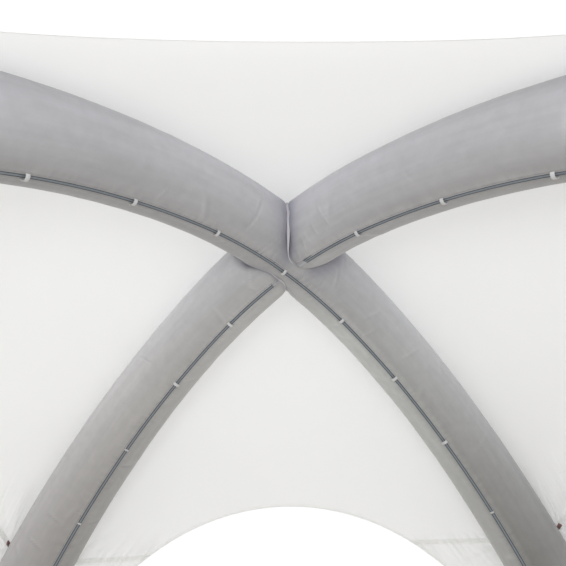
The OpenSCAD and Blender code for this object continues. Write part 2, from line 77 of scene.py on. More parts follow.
# Each arch has its own frame: s runs along the centreline, phi turns from the inner side towards local +Y
ARCH_A, ARCH_B = 45, 315
LEGS = {"near_left": (ARCH_A, -1), "far_right": (ARCH_A, 1),
        "near_right": (ARCH_B, 1), "far_left": (ARCH_B, -1)}
TIP_NEAR, TIP_FAR = 0.055, 0.072
# Windows in the sleeves round the valves, and the bladders' holes there, as (angle down the leg, radius)
WINDOWS = ((80, 0.041), (74, 0.031))
VALVE_HOLES = ((80, 0.021), (74, 0.014))
VALVE_PHI = math.radians(62)
VALVE_PLACES = (("a", ARCH_A, -1, VALVE_PHI), ("b_near", ARCH_B, 1, -VALVE_PHI),
                ("b_far", ARCH_B, -1, VALVE_PHI))


# ---- helpers
def smooth(x):
    x = np.clip(x, 0, 1)
    return x * x * (3 - 2 * x)


def groove(dist, width):
    return np.exp(-((dist / width) ** 2))


def lip(dist, width):
    """1 at a sewn edge, falling to 0 at width from it like a rounded shoulder."""
    x = np.clip(1 - dist / width, 0, 1)
    return 1 - np.sqrt(1 - x * x)


def noise(x, y, seed):
    """Smooth value noise from -1 to 1 on a seeded lattice."""
    table = np.random.RandomState(seed).rand(256, 256) * 2 - 1
    xi, yi = np.floor(x).astype(int), np.floor(y).astype(int)
    fx, fy = smooth(x - xi), smooth(y - yi)
    a, b, c, d = (table[(xi + i) % 256, (yi + j) % 256] for j in (0, 1) for i in (0, 1))
    return (a + (b - a) * fx) * (1 - fy) + (c + (d - c) * fx) * fy


def along(s0, s1, step):
    return np.linspace(s0, s1, max(2, int(abs(s1 - s0) / step) + 1))


def unit(v):
    return v / np.linalg.norm(v, axis=-1, keepdims=True)


def run_along(path):
    """Distance along a path to each of its points."""
    return np.concatenate([[0], np.cumsum(np.linalg.norm(np.diff(path, axis=0), axis=1))])


def flat_normals(path):
    tangent = unit(np.gradient(path, axis=0))
    return points(-tangent[:, 1], tangent[:, 0])


def points(*parts):
    """Coordinates put together, and spread over each other's rows and columns."""
    return np.stack(np.broadcast_arrays(*parts), -1)


def turned(p, degrees):
    c, s = math.cos(math.radians(degrees)), math.sin(math.radians(degrees))
    return points(p[..., 0] * c - p[..., 1] * s, p[..., 0] * s + p[..., 1] * c, p[..., 2])


def centreline(s):
    """x, z and angle of the centreline at signed distance s from the crown."""
    t = np.abs(s)
    crown = t < CROWN_LEN
    a = np.where(crown, t / CROWN_R, CROWN_A + (t - CROWN_LEN) / LEG_R)
    x = np.where(crown, CROWN_R * np.sin(a), LEG_CX + LEG_R * np.sin(a))
    z = np.where(crown, APEX_Z - CROWN_R * (1 - np.cos(a)), PAD_T + LEG_R * np.cos(a))
    return np.sign(s) * x, z, np.sign(s) * a


def on_beam(s, phi, r):
    """A point at radius r round the centreline, in the arch's frame."""
    x, z, a = centreline(s)
    inward = r * np.cos(phi)
    return points(x - inward * np.sin(a), r * np.sin(phi), z - inward * np.cos(a))


def off_beam(s, phi, arch):
    """The direction straight out of a beam."""
    return turned(on_beam(s, phi, 1.0) - on_beam(s, phi, 0.0), arch)


def mesh(name, grids, wrap=False, caps=False):
    """A mesh of grids, each as (points, uv, whether its faces are turned over)."""
    faces, start = [], 0
    for p, _, flip in grids:
        rows, cols = p.shape[:2]
        i, j = np.meshgrid(np.arange(rows - 1), np.arange(cols if wrap else cols - 1), indexing="ij")
        k = (j + 1) % cols
        quads = points(i * cols + j, i * cols + k, (i + 1) * cols + k, (i + 1) * cols + j)
        here = (start + quads.reshape(-1, 4)).tolist()
        if caps:
            last = start + (rows - 1) * cols
            here += [list(range(start + cols - 1, start - 1, -1)), list(range(last, last + cols))]
        faces += [f[::-1] for f in here] if flip else here
        start += rows * cols
    me = bpy.data.meshes.new(name)
    me.from_pydata(np.concatenate([p.reshape(-1, 3) for p, _, _ in grids]).tolist(), [], faces)
    me.polygons.foreach_set("use_smooth", [True] * len(me.polygons))
    uv = np.concatenate([u.reshape(-1, 2) for _, u, _ in grids])
    which = np.empty(len(me.loops), dtype=np.int32)
    me.loops.foreach_get("vertex_index", which)
    me.uv_layers.new(name="cloth").data.foreach_set("uv", uv[which].astype(np.float32).ravel())
    me.validate()
    return me


def piece(name, grids, mat, *replaced, wrap=False, caps=False):
    """A new piece of the tent, in place of some CAD nodes."""
    obj = bpy.data.objects.new(name, mesh(name, grids, wrap, caps))
    bpy.context.scene.collection.objects.link(obj)
    obj.data.materials.append(mat)
    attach(obj, "tent")
    if replaced:
        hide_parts(*replaced)
    return obj


# ---- materials
def fill(nt, n, values):
    """Sets a node's properties and inputs, and links an input whose value is a socket."""
    for key, value in values.items():
        if isinstance(key, str) and hasattr(n, key):
            setattr(n, key, value)
            continue
        socket = n.inputs[key.replace("_", " ") if isinstance(key, str) else key]
        if isinstance(value, bpy.types.NodeSocket):
            nt.links.new(value, socket)
        else:
            socket.default_value = value


def node(nt, kind, *sockets, **values):
    n = nt.nodes.new("ShaderNode" + kind)
    fill(nt, n, {**values, **dict(enumerate(sockets))})
    return n


def ramp(nt, source, stops):
    r = node(nt, "ValToRGB", source)
    while len(r.color_ramp.elements) < len(stops):
        r.color_ramp.elements.new(0.5)
    for e, (at, colour) in zip(r.color_ramp.elements, stops):
        e.position, e.color = at, (*colour, 1)
    return r.outputs["Color"]


def multiplied(nt, tone, factor):
    mix = node(nt, "Mix", data_type="RGBA", blend_type="MULTIPLY", Factor=1.0, A=tone, B=factor)
    return mix.outputs["Result"]


def mapped(nt, scale, uv=True):
    source = node(nt, "UVMap", uv_map="cloth").outputs["UV"] if uv else node(nt, "TexCoord").outputs["Object"]
    return node(nt, "Mapping", Scale=scale, Vector=source).outputs["Vector"]


def blotches(nt, size, detail=3.0):
    where = mapped(nt, (1 / size,) * 3, uv=False)
    return node(nt, "TexNoise", Scale=1.0, Detail=detail, Roughness=0.55, Vector=where).outputs["Fac"]


def mottled(nt, colour, variation, size):
    """A colour that is darker and lighter from place to place."""
    dark, light = (tuple(min(1.0, c * k) for c in colour) for k in (1 - variation, 1 + variation))
    return ramp(nt, blotches(nt, size), [(0.3, dark), (0.7, light)])


def grey(value):
    return (value,) * 3


def painted_fold_shade(nt, stops):
    """Painted shade and light by how deep in a fold the cloth is."""
    return ramp(nt, node(nt, "Attribute", attribute_name="fold").outputs["Fac"], stops)


def weave(nt, pitch):
    """Height of a plain weave of that thread pitch."""
    where = mapped(nt, grey(1 / pitch))
    waves = [node(nt, "TexWave", bands_direction=d, wave_profile="SIN", Scale=1.0, Distortion=0.4, Detail=1.0,
                  Vector=where).outputs["Fac"] for d in ("X", "Y")]
    return node(nt, "Math", *waves, operation="MAXIMUM").outputs[0]


def bumped(nt, *heights):
    """Bumps one over another, each as (height socket, strength, distance)."""
    normal = {}
    for height, strength, distance in heights:
        b = node(nt, "Bump", Strength=strength, Distance=distance, Height=height, **normal)
        normal = {"Normal": b.outputs["Normal"]}
    return b.outputs["Normal"]


def material(name):
    m = bpy.data.materials.new(name)
    m.use_nodes = True
    return m, m.node_tree, m.node_tree.nodes["Principled BSDF"]


def cloth(name, colour, pitch=0.0012, variation=0.03, blotch=0.01, rough=0.85, through=0.0, sheen=0.15,
          folds=()):
    """Woven cloth. colour is one or a function that makes it, through is the share of light let through, and
    folds is painted light and shade by how deep in a fold it is.
    """
    m, nt, bsdf = material(name)
    tone = colour(nt) if callable(colour) else mottled(nt, colour, variation, blotch)
    if folds:
        tone = multiplied(nt, tone, painted_fold_shade(nt, folds))
    normal = bumped(nt, (blotches(nt, 0.03), 0.35, 0.0015), (weave(nt, pitch), 0.4, pitch * 0.25))
    fill(nt, bsdf, {"Base Color": tone, "Normal": normal, "Roughness": rough, "Sheen Weight": sheen,
                    "Sheen Roughness": 0.35, "Specular IOR Level": 0.25})
    if through:
        lit = node(nt, "BsdfTranslucent", Color=tone, Normal=normal)
        mix = node(nt, "MixShader", through, bsdf.outputs[0], lit.outputs[0])
        nt.links.new(mix.outputs[0], nt.nodes["Material Output"].inputs["Surface"])
    return m


def solid(name, colour, rough, metal=0.0, grain=0.004, depth=0.0002, coat=0.0, variation=0.08):
    """Plastic, rubber or metal with a fine grain, rough by a little more or less from place to place."""
    m, nt, bsdf = material(name)
    fine = blotches(nt, grain, 4.0)
    patchy = node(nt, "MapRange", Value=fine, To_Min=rough - 0.07, To_Max=rough + 0.09)
    fill(nt, bsdf, {"Base Color": mottled(nt, colour, variation, grain * 12), "Roughness": patchy.outputs[0],
                    "Metallic": metal, "Coat Weight": coat, "Normal": bumped(nt, (fine, 0.35, depth))})
    return m


# Sleeve colours round the beam, as (share of the girth from the zip, colour): the far side comes first. They
# are painted light and shade: painted darker by the zip underneath, lighter up the sides, with a painted
# highlight on the near side
SLEEVE_PAINTED_LIGHT = ((0.0, (0.365, 0.360, 0.360)), (0.10, (0.395, 0.392, 0.394)), (0.26, (0.470, 0.470, 0.475)),
          (0.50, (0.500, 0.500, 0.515)), (0.74, (0.570, 0.571, 0.603)), (0.87, (0.438, 0.436, 0.450)),
          (1.0, (0.368, 0.363, 0.363)))
# Painted light and shade by the fold attribute: lighter on crests, darker in creases and seams
SLEEVE_FOLD_SHADE = ((0.0, (1.16, 1.16, 1.15)), (0.3, grey(1)), (1.0, (0.62, 0.62, 0.69)))
# Which side a place on the sleeve is on. The two meet under the zip and on top of the beam
SLEEVE_SIDE = [(at, grey(k)) for at, k in ((0, 0.5), (0.04, 0), (0.42, 0), (0.58, 1), (0.96, 1), (1, 0.5))]


def sleeve_cloth(name, far_fades, near_fades):
    """Sleeve cloth whose sides fade along the beam in painted light and shade, by (metres along it,
    brightness[, warmth[, green]]).
    """
    def shade(k, warm=0.0, green=0.0):
        return k * (1 + warm), k * (1 + green), k * (1 - warm)

    def tone(nt):
        place = node(nt, "SeparateXYZ", mapped(nt, (0.5 / LEG_LEN, 1 / GIRTH, 1)))
        run = node(nt, "Math", place.outputs[0], 0.5, operation="ADD").outputs[0]
        far, near = (ramp(nt, run, [(0.5 + 0.5 * at / LEG_LEN, shade(*look)) for at, *look in side])
                     for side in (far_fades, near_fades))
        both = node(nt, "Mix", data_type="RGBA", Factor=ramp(nt, place.outputs[1], SLEEVE_SIDE), A=far, B=near)
        streaks = node(nt, "TexNoise", Scale=1.0, Detail=4.0, Roughness=0.6, Vector=mapped(nt, (1.6, 22, 1)))
        out = multiplied(nt, ramp(nt, place.outputs[1], SLEEVE_PAINTED_LIGHT), both.outputs["Result"])
        out = multiplied(nt, out, ramp(nt, streaks.outputs["Fac"], [(0.25, grey(0.94)), (0.75, grey(1.06))]))
        out = multiplied(nt, out, ramp(nt, blotches(nt, 0.05), [(0.3, grey(0.965)), (0.7, grey(1.035))]))
        return multiplied(nt, out, painted_fold_shade(nt, SLEEVE_FOLD_SHADE))

    return cloth(name, tone, pitch=0.0016, sheen=0.25)


# Painted light and shade along the beams, as lighter and darker stretches of each side, with tints
M_SLEEVE_A = sleeve_cloth(
    "sleeve_cloth_a",
    ((-2.2, 0.94), (-0.8, 1.0), (0.0, 1.05), (0.6, 1.44, 0.0, 0.03), (1.2, 1.32, 0.0, 0.03),
     (2.2, 1.03, 0.01, 0.02), (4.4, 0.95, 0.01, 0.02)),
    ((-2.2, 0.93), (-1.2, 0.94), (-0.7, 1.01), (0.2, 0.94), (0.9, 0.97, 0.01, 0.02), (1.5, 0.84, 0.015, 0.018),
     (2.3, 0.54, 0.03, 0.028), (4.4, 0.75, 0.02, 0.02)))
M_SLEEVE_B = sleeve_cloth(
    "sleeve_cloth_b",
    ((-2.4, 0.86, 0.02, 0.01), (-1.2, 1.12, 0.015, 0.01), (-0.5, 1.30, 0.01, 0.01), (0.4, 1.14),
     (1.5, 1.0, 0.01), (4.4, 0.95)),
    ((-4.4, 0.9, 0.04, 0.01), (-2.4, 0.83, 0.04, 0.01), (-1.2, 1.035, 0.03, 0.015), (-0.4, 1.02, 0.01, 0.01),
     (0.4, 1.03), (1.4, 0.95, 0.005), (4.4, 0.90)))
M_TRIM = cloth("sleeve_trim", (0.40, 0.392, 0.405), pitch=0.0016, variation=0.035, blotch=0.05)
M_PIPING = cloth("piping_cloth", (0.54, 0.53, 0.56), pitch=0.0016, variation=0.04, blotch=0.02)
# Canopy: painted shade in its wrinkle valleys and slightly lighter crests, by the fold attribute
M_CANOPY = cloth("canopy_weave", (0.932, 0.932, 0.925), variation=0.006, blotch=0.5,
                 through=0.42, sheen=0, folds=((0.0, grey(1.0)), (0.3, grey(0.985)), (0.7, (0.88, 0.88, 0.87))))
M_BINDING = cloth("binding_cloth", (0.965, 0.965, 0.955), variation=0.01, blotch=0.05,
                  through=0.5, sheen=0)
M_BAND = cloth("band_webbing", (0.955, 0.955, 0.945), pitch=0.0022, variation=0.035,
               through=0.6, sheen=0)
M_THREAD = cloth("thread", (0.45, 0.45, 0.46), pitch=0.0006)
M_TAPE = cloth("zip_tape_weave", (0.090, 0.106, 0.124), variation=0.08, blotch=0.02)
M_TAIL = cloth("zip_tail_weave", (0.42, 0.43, 0.46), variation=0.05, blotch=0.02)
M_COIL = cloth("zip_coil_teeth", (0.25, 0.275, 0.30), pitch=0.0025, variation=0.05, blotch=0.02,
               rough=0.5, sheen=0)
M_LOOP = cloth("loop_webbing", grey(0.60), pitch=0.0018)
M_STRAP = cloth("dark_webbing_weave", (0.06, 0.06, 0.065), pitch=0.002, variation=0.12)
M_TIE = cloth("tie_webbing", (0.38, 0.22, 0.21), pitch=0.002, variation=0.15)
M_BLADDER = cloth("bladder_sheet", (0.66, 0.70, 0.72), pitch=0.004, blotch=0.09, rough=0.35,
                  sheen=0)
M_RUBBER = solid("foot_rubber_grain", (0.055, 0.055, 0.06), 0.72, grain=0.003, depth=0.0004)
M_BRASS = solid("grommet_metal", (0.62, 0.53, 0.33), 0.32, metal=1.0, grain=0.002, depth=0.00005)
M_STEEL = solid("ring_metal", (0.58, 0.59, 0.61), 0.28, metal=1.0, grain=0.002, depth=0.00005)
M_SLIDER = solid("slider_paint", (0.20, 0.215, 0.23), 0.38, metal=0.7, grain=0.0015, depth=0.00008, coat=0.2)
M_VALVE = solid("valve_plastic", (0.030, 0.031, 0.034), 0.42, grain=0.0012, depth=0.0001)
M_RED = solid("valve_red_plastic", (0.52, 0.055, 0.035), 0.40, grain=0.0012, depth=0.0001)
M_GREY = solid("relief_grey_plastic", (0.40, 0.41, 0.43), 0.42, grain=0.0012, depth=0.0001)

# ---- sleeves
# Half profile of a sleeve next to the zip, in mm, as (distance from the zip's middle, height above the beam)
FLAP = ((14.5, 1.7), (10.5, 1.7), (9.8, 2.2), (10.0, 2.8), (11.2, 3.2), (14.0, 3.2), (15.8, 2.8), (17.0, 1.2),
        (18.2, 2.8), (20.5, 3.0), (24.0, 2.4), (28.5, 1.2), (34.0, 0.4), (43.0, 0.0))
ROUND_STEP, ALONG_STEP, SEAM_STEP = ((0.012, 0.010, 0.003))
FOLD_LEVEL = 0.3  # the stored value of flat cloth
FOLD_SCALE = 0.0075  # height of a crease that changes it by 1
SEAM_WAVE = 0.018  # length of the puckers along a seam
# The larger creases, from (along, round from the zip) to the same, with bow, height and, on beam A, width. On
# beam B they are measured back round it
CREASE_A = ((-0.365, GIRTH - 0.27), (-0.40, GIRTH - 0.06), -0.012, 0.0022, 0.007)
CREASES_B = {1: (((0.385, 0.23), (0.41, 0.09), 0.008, 0.0017),
                 ((0.316, 0.17), (0.318, 0.075), 0.008, 0.0014)),
             -1: (((2.196, 0.22), (2.222, 0.10), 0.006, -0.0022),
                  ((2.030, 0.19), (2.046, 0.095), 0.002, -0.0020),
                  ((1.613, 1.150), (1.597, 1.065), 0.003, -0.0024),
                  ((1.05, 0.30), (1.00, 0.16), 0.010, 0.0012))}


def sleeve_profile():
    """Distances round the sleeve from the zip's middle, and heights above the beam's surface."""
    flap = np.array(FLAP) * MM
    count = int((GIRTH - 2 * flap[-1, 0]) / ROUND_STEP)
    middle = np.linspace(flap[-1, 0], GIRTH - flap[-1, 0], count + 1)[1:-1]
    v = np.concatenate([flap[:, 0], middle, GIRTH - flap[::-1, 0]])
    return v, np.concatenate([flap[:, 1], 0 * middle, flap[::-1, 1]])


def creases(s, v, seed, count, length, zone):
    """Short soft folds in the cloth, scattered over the s range zone, mostly across the beam."""
    rnd = np.random.RandomState(seed)
    out = np.zeros_like(s)
    for _ in range(count):
        s0, v0 = rnd.uniform(*zone), rnd.uniform(0.02, GIRTH - 0.02)
        turn, size, deep = rnd.normal(0, 0.5), length * rnd.uniform(0.5, 1.4), 0.0016 * rnd.uniform(0.4, 1.2)
        bend, width = rnd.uniform(-1.2, 1.2), rnd.uniform(0.007, 0.014)
        near = np.abs(s - s0) < size + 0.05
        ds, dv = s[near] - s0, v[near] - v0
        run, across = ds * math.sin(turn) + dv * math.cos(turn), ds * math.cos(turn) - dv * math.sin(turn)
        across = across - bend * run ** 2
        shape = groove(across, width) - 0.6 * groove(across - 1.6 * width, width)
        out[near] += deep * np.exp(-((run / (0.5 * size)) ** 4)) * shape
    return out * smooth((np.minimum(v, GIRTH - v) - 0.020) / 0.02)


def fold_line(s, v, start, end, bend, height, width):
    """One soft crease from start to end, each (s, v), bowed sideways by bend."""
    a, b = np.array(start), np.array(end)
    size = np.linalg.norm(b - a)
    t, n = (b - a) / size, np.array([-(b - a)[1], (b - a)[0]]) / size
    run = ((s - a[0]) * t[0] + (v - a[1]) * t[1]) / size
    off = (s - a[0]) * n[0] + (v - a[1]) * n[1] - bend * 4 * run * (1 - run)
    ends = smooth(run / 0.25) * smooth((1 - run) / 0.25)
    return height * ends * (groove(off, width) - 0.8 * groove(off - 1.7 * width, width))


def crossing_folds(s, v, seed, reach):
    """Fine folds in the cloth that gather towards the crossing's tip, over the s range reach."""
    rnd = np.random.RandomState(seed)
    out = np.zeros_like(s)
    for _ in range(9):
        s0, v0 = rnd.uniform(*reach), GIRTH - rnd.uniform(0.04, 0.16)
        size, lean = rnd.uniform(0.04, 0.10), rnd.normal(0.0, 0.25)
        end = (s0 * (1 - 0.35 * lean) - 0.02, v0 + size)
        out += fold_line(s, v, (s0, v0), end, rnd.uniform(-0.006, 0.006), rnd.uniform(0.0005, 0.0012),
                         rnd.uniform(0.004, 0.007))
    return out


def cloth_relief(s, v, seed):
    """Heights of the sleeve cloth's own unevenness and of the puckers beside its zip."""
    zip_dist = np.minimum(v, GIRTH - v)
    h = 0.0020 * noise(s / 0.40, v / 0.30 + 7, seed)
    h += 0.0007 * noise(s / 0.07, v / 0.22, seed + 1)
    h += 0.0006 * groove(zip_dist, 0.20) * noise(s / 0.028, v / 0.20, seed + 2)
    h *= smooth((zip_dist - 0.008) / 0.05)
    return h, 0.0010 * groove(zip_dist - 0.030, 0.016) * noise(s / 0.011, zip_dist / 0.05, seed + 3)


def tip_line(y, tip):
    """How far from the crossing a half beam's edge is, at y across it."""
    return (np.abs(y) ** 4 + tip ** 4) ** 0.25


def seam_depth_a(p):
    """How far beam A's sleeve is pulled in next to the half beams' seams, for points in the arch A frame."""
    w = turned(p, ARCH_A)
    x, y = w[..., 0], w[..., 1]
    rho = np.hypot(x, y)
    fade = smooth((rho - 0.05) / 0.10)
    puck = 1 + 0.35 * noise(rho / SEAM_WAVE, 3, 41)
    d = 0.0055 * groove(x, 0.014) * (y < 0) * fade * puck  # near side, in front of the piping
    d += 0.0110 * groove(x, 0.060) * (y < 0) * fade * smooth((0.245 + y) / 0.08)
    d += 0.0110 * groove(y, 0.022) * (x > 0) * fade  # under the rounded end of the near half
    d += 0.0060 * groove(x, 0.020) * (y > 0) * fade
    # Where a half beam covers it, the sleeve lies a little deeper
    b = turned(p, ARCH_A - ARCH_B)
    for sign, tip in ((1, TIP_NEAR), (-1, TIP_FAR)):
        d += 0.008 * smooth((sign * b[..., 0] - tip_line(b[..., 1], tip) - 0.004) / 0.012)
    return d


def open_windows(obj, arch, sign, phi, windows):
    """Cuts round windows: points inside one move out to its rim, and the faces between them go."""
    me = obj.data
    p = np.empty(len(me.vertices) * 3)
    me.vertices.foreach_get("co", p)
    p = p.reshape(-1, 3)
    gone = set()
    for degrees, radius in windows:
        s = np.array(sign * leg_s(degrees))
        out = off_beam(s, phi, arch)
        d = p - turned(on_beam(s, phi, BEAM_R), arch)
        high = d @ out
        flat = d - high[:, None] * out
        r = np.linalg.norm(flat, axis=1)
        inside = (r < radius) & (np.abs(high) < 0.05)
        p[inside] += flat[inside] * (radius / np.maximum(r[inside], 1e-6) - 1)[:, None]
        gone |= set(np.nonzero(inside)[0].tolist())
    me.vertices.foreach_set("co", p.ravel())
    bm = bmesh.new()
    bm.from_mesh(me)
    cut = [f for f in bm.faces if all(v.index in gone for v in f.verts)]
    bmesh.ops.delete(bm, geom=cut, context="FACES_ONLY")
    bmesh.ops.delete(bm, geom=[v for v in bm.verts if not v.link_faces], context="VERTS")
    bm.to_mesh(me)
    bm.free()


def calm(s, v, sign, phi):
    """0 beside a valve, 1 away from it: the cloth lies flat on the bladder round a window."""
    out = np.ones_like(s)
    mid = (phi - ZIP_PHI) % FULL_TURN * BEAM_R
    for degrees, radius in WINDOWS:
        out *= smooth((np.hypot(s - sign * leg_s(degrees), v - mid) - radius - 0.01) / 0.08)
    return out


def shaded(obj, fold):
    """Keeps how deep in a fold each point is, for painted light and shade: the cloth is painted lighter on a
    crest and darker in a valley.
    """
    layer = obj.data.attributes.new("fold", "FLOAT", "POINT")
    layer.data.foreach_set("value", np.clip(FOLD_LEVEL + fold, 0, 1).astype(np.float32).ravel())


def sleeve_a():
    v, h = sleeve_profile()
    s, v = np.meshgrid(np.linspace(-LEG_LEN, LEG_LEN, int(2 * LEG_LEN / ALONG_STEP)), v, indexing="ij")
    phi = ZIP_PHI + v / BEAM_R
    fine = creases(s, v, 21, 60, 0.10, (-LEG_LEN, LEG_LEN)) + creases(s, v, 22, 12, 0.13, (-0.7, 0.7))
    fine += crossing_folds(s, v, 31, (-0.22, -0.10)) + crossing_folds(s, v, 32, (0.10, 0.30))
    fine += fold_line(s, v, *CREASE_A)
    relief, puckers = cloth_relief(s, v, 11)
    relief = (relief + puckers + fine) * calm(s, v, -1, VALVE_PHI)
    p = turned(on_beam(s, phi, BEAM_R + h + relief - seam_depth_a(on_beam(s, phi, BEAM_R))), ARCH_A)
    obj = piece("sleeve_a", [(p, points(s, v), False)], M_SLEEVE_A, "beam_a_sleeve")
    # Painted shade: the cloth is painted darker in the seams with the half beams, and darker in crease valleys
    # and lighter on their crests
    x, y = p[..., 0], p[..., 1]
    fold = 0.85 * groove(x, 0.050) * smooth(-y / 0.10)
    fold += 0.70 * groove(y - 0.012, 0.045) * smooth((x - 0.06) / 0.10)
    fold += 0.45 * groove(y, 0.03) * smooth((-x - 0.05) / 0.08)
    shaded(obj, 0.7 * fold - (fine + puckers) / FOLD_SCALE)
    open_windows(obj, ARCH_A, -1, VALVE_PHI, WINDOWS)


def sleeve_b(name, sign, tip, replaced, seed):
    """The sleeve of one half of beam B, whose rounded end is sewn to beam A's sleeve."""
    v, h = sleeve_profile()
    phi = ZIP_PHI + v / BEAM_R
    edge = CROWN_R * np.arcsin(tip_line(BEAM_R * np.sin(phi), tip) / (CROWN_R - BEAM_R * np.cos(phi)))
    steps = [0.0]
    while steps[-1] < LEG_LEN - 0.1:
        steps.append(steps[-1] + min(ALONG_STEP, SEAM_STEP + 0.06 * steps[-1]))
    s = edge[None, :] + (LEG_LEN - edge[None, :]) * np.array(steps)[:, None] / steps[-1]
    s, v, h, phi = np.broadcast_arrays(s, v, h, phi)
    p = on_beam(sign * s, phi, BEAM_R)
    out, across = sign * p[..., 0], p[..., 1]
    dist = np.maximum(0, out - tip_line(across, tip)) * 0.75
    fine = creases(s, v, seed + 5, 32, 0.10, (0.2, LEG_LEN)) + creases(s, v, seed + 6, 6, 0.12, (0.1, 0.7))
    if sign > 0:
        fine += crossing_folds(s, v, seed + 7, (0.12, 0.30))
    for start, end, bend, height in CREASES_B[sign]:
        fine += fold_line(s, v, (start[0], GIRTH - start[1]), (end[0], GIRTH - end[1]), bend, height, 0.006)
    relief, puckers = cloth_relief(sign * s, v, seed)
    relief = (relief + puckers + fine) * smooth(dist / 0.05) * calm(sign * s, v, sign, -sign * VALVE_PHI)
    # The end of the half beam rounds in and meets beam A's sleeve
    own, beam_a = (np.sqrt(np.maximum(0, BEAM_R ** 2 - d ** 2)) for d in (across, out))
    end_drop = (np.maximum(0, own - beam_a) * (np.cos(phi) > 0))[0:1, :]
    depth = (end_drop + 0.002) * lip(dist, 0.022)
    puck = 1 + 0.35 * noise(np.hypot(out, across) / SEAM_WAVE, 5, seed + 8)
    if sign > 0:
        seam = 0.0055 * groove(dist, 0.013) * puck
        seam += 0.011 * groove(dist, 0.055) * smooth((0.173 + across) / 0.056)
        depth += np.where(across < 0, seam, 0.004 * lip(dist, 0.03))
        # Painted shade: darker in the seam with beam A
        fold = 0.85 * groove(dist, 0.045) * smooth(-across / 0.08) + 0.25 * groove(dist, 0.03)
    else:
        depth += np.where(across > 0, 0.006 * groove(dist, 0.02), 0.016 * groove(dist, 0.022) * puck)
        depth += 0.022 * groove(across + 0.145, 0.022) * groove(dist, 0.022)
        # Painted shade: darker in the seam with beam A and in the gap at its low end
        fold = 0.45 * groove(dist, 0.014) + 1.2 * groove(across + 0.15, 0.017) * groove(dist, 0.018)
        fold += 0.75 * groove(dist - 0.002, 0.007) * smooth(-across / 0.03) * smooth((0.16 + across) / 0.03)
    # The flaps close over the tail of the tape
    close = 1 - smooth((s - ZIP_START + 0.012) / 0.02)
    mid = np.where(v < GIRTH / 2, v, v - GIRTH)
    phi = ZIP_PHI + (mid - np.sign(mid) * 0.0092 * close * groove(mid, 0.03)) / BEAM_R
    p = turned(on_beam(sign * s, phi, BEAM_R + h * smooth((dist + 0.004) / 0.03) + relief - depth), ARCH_B)
    obj = piece(name, [(p, points(sign * s, v), sign < 0)], M_SLEEVE_B, replaced)
    # Painted shade in the seams and crease valleys, and painted light on crease crests
    shaded(obj, 0.7 * fold - (fine + puckers) / FOLD_SCALE * smooth(dist / 0.02))
    open_windows(obj, ARCH_B, sign, -sign * VALVE_PHI, WINDOWS)


sleeve_a()
sleeve_b("sleeve_b_near", 1, TIP_NEAR, "beam_b_near_sleeve", 61)
sleeve_b("sleeve_b_far", -1, TIP_FAR, "beam_b_far_sleeve", 81)


# ---- bladders
FOOT_S, BLADDER_START = LEG_LEN - 0.003, 0.30
HOLE_REACH, HOLE_STEP = 0.030, 0.003


def closer(values, middle, scale=1.0):
    """The values, with closer steps round a middle."""
    reach, step = HOLE_REACH / scale, HOLE_STEP / scale
    return np.sort(np.concatenate([values[np.abs(values - middle) > reach + 0.3 * step],
                                   np.arange(middle - reach, middle + reach + step / 2, step)]))


def bladder(name, arch, s0, s1, replaced, sign, at):
    """The inflated tube inside a sleeve. It touches it only round the valves, and is slack in the crossing."""
    rows = along(s0, s1, 0.02)
    for degrees, _ in VALVE_HOLES:
        rows = closer(rows, sign * leg_s(degrees))
    turns = closer(np.linspace(0, FULL_TURN, 97)[:-1], at % FULL_TURN, BEAM_R)
    s, phi = np.meshgrid(rows, turns, indexing="ij")
    r = BEAM_R - 0.0085 - 0.030 * smooth((0.42 - np.abs(s)) / 0.12)
    for degrees, radius in WINDOWS:
        gap = np.hypot(s - sign * leg_s(degrees), ((phi - at + math.pi) % FULL_TURN - math.pi) * BEAM_R)
        r += 0.0061 * smooth((radius + 0.04 - gap) / 0.03)
    tube = (turned(on_beam(s, phi, r), arch), points(s, phi * BEAM_R), False)
    obj = piece(name, [tube], M_BLADDER, replaced, wrap=True, caps=True)
    open_windows(obj, arch, sign, at, VALVE_HOLES)


bladder("bladder_film_a", ARCH_A, -FOOT_S, FOOT_S, "beam_a_bladder", -1, VALVE_PHI)
bladder("bladder_film_b_near", ARCH_B, BLADDER_START, FOOT_S, "beam_b_near_bladder", 1, -VALVE_PHI)
bladder("bladder_film_b_far", ARCH_B, -FOOT_S, -BLADDER_START, "beam_b_far_bladder", -1, VALVE_PHI)


# ---- piping, rolled edges and bindings
def cord(name, path, normals, half_w, half_h, mat, *replaced):
    """A rounded roll along a path, half_w wide to each side and half_h high along its normals."""
    side = unit(np.cross(unit(np.gradient(path, axis=0)), normals))
    turn = np.linspace(0, FULL_TURN, 17)[:-1]
    ring = np.cos(turn)[None, :, None] * side[:, None] * half_w[:, None, None]
    ring = ring + np.sin(turn)[None, :, None] * normals[:, None] * half_h[:, None, None]
    uv = points(run_along(path)[:, None], turn * 0.008)
    piece(name, [(path[:, None] + ring, uv, True)], mat, *replaced, wrap=True, caps=True)


def seam_path(phi, sign, tip, off, depth):
    """A line beside a half beam's edge: off is its distance towards beam A, depth its depth in the cloth."""
    out = tip_line(BEAM_R * np.sin(phi), tip) - off
    s = sign * CROWN_R * np.arcsin(out / (CROWN_R - BEAM_R * np.cos(phi)))
    return turned(on_beam(s, phi, BEAM_R - depth), ARCH_B), off_beam(s, phi, ARCH_B)


